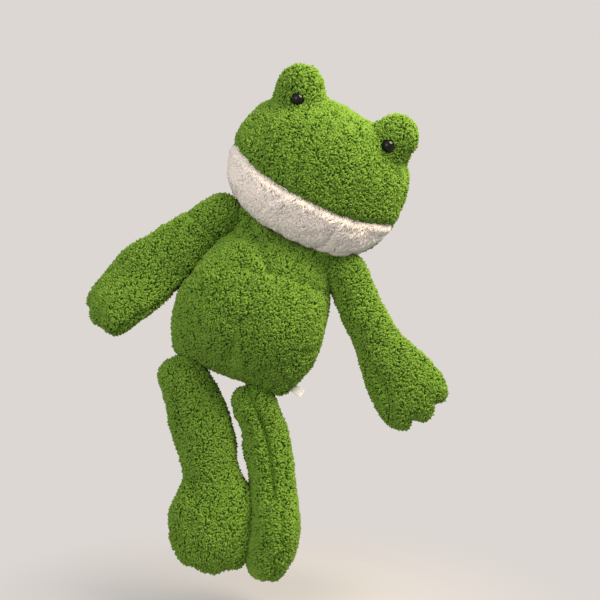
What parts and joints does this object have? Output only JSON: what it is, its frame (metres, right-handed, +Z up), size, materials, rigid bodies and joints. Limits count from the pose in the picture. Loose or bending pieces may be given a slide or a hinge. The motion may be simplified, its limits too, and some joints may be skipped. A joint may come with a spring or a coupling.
{
  "type": "plush frog",
  "caption": "Soft stuffed frog with a curly green coat, a white chin and raised bead eyes; its head turns and its long arms and legs swing.",
  "frame": {"origin": "middle of the small flat patch on the torso's back", "axes": "+Z up and -Y the way the frog faces; the frog's own left is +X, and it leans as it hangs in the picture, its head towards +X"},
  "size_m": [0.2515, 0.084, 0.3548],
  "materials": {
    "green_plush": "curly boucle pile",
    "white_plush": "longer brushed pile",
    "black_bead": "glossy",
    "stuffing": "loose polyester fibre",
    "white_plastic": "matt",
    "ribbon": "smooth woven ribbon"
  },
  "bodies": {
    "torso": {"torso_front": "green_plush", "torso_back": "green_plush", "torso_filling": "stuffing", "care_label": "ribbon"},
    "head": {"head_face": "green_plush", "head_back": "green_plush", "chin_panel": "white_plush", "head_filling": "stuffing", "left_mound_front": "green_plush", "left_mound_back": "green_plush", "left_mound_filling": "stuffing", "left_eye": "black_bead", "left_eye_washer": "white_plastic", "right_mound_front": "green_plush", "right_mound_back": "green_plush", "right_mound_filling": "stuffing", "right_eye": "black_bead", "right_eye_washer": "white_plastic"},
    "left_arm": {"left_arm_front": "green_plush", "left_arm_back": "green_plush", "left_arm_filling": "stuffing"},
    "right_arm": {"right_arm_front": "green_plush", "right_arm_back": "green_plush", "right_arm_filling": "stuffing"},
    "left_leg": {"left_leg_front": "green_plush", "left_leg_back": "green_plush", "left_leg_filling": "stuffing"},
    "right_leg": {"right_leg_front": "green_plush", "right_leg_back": "green_plush", "right_leg_filling": "stuffing"}
  },
  "joints": [
    {"name": "head_turn", "type": "hinge", "parent": "torso", "child": "head", "pos_m": [0.04391, -0.0373, 0.09255], "axis": [0.459, 0, 0.8884], "range_deg": [-40, 40], "stiffness_Nm_per_rad": 0.02},
    {"name": "left_arm_swing", "type": "hinge", "parent": "torso", "child": "left_arm", "pos_m": [0.06405, -0.0373, 0.02301], "axis": [-0.9044, 0, 0.4268], "range_deg": [-45, 90]},
    {"name": "right_arm_swing", "type": "hinge", "parent": "torso", "child": "right_arm", "pos_m": [-0.02435, -0.0373, 0.06472], "axis": [-0.9044, 0, 0.4268], "range_deg": [-45, 90]},
    {"name": "left_leg_swing", "type": "hinge", "parent": "torso", "child": "left_leg", "pos_m": [-0.00007, -0.0373, -0.07094], "axis": [-0.9304, 0, 0.3665], "range_deg": [-45, 85]},
    {"name": "right_leg_swing", "type": "hinge", "parent": "torso", "child": "right_leg", "pos_m": [-0.04994, -0.0373, -0.0513], "axis": [-0.9304, 0, 0.3665], "range_deg": [-45, 85]}
  ]
}
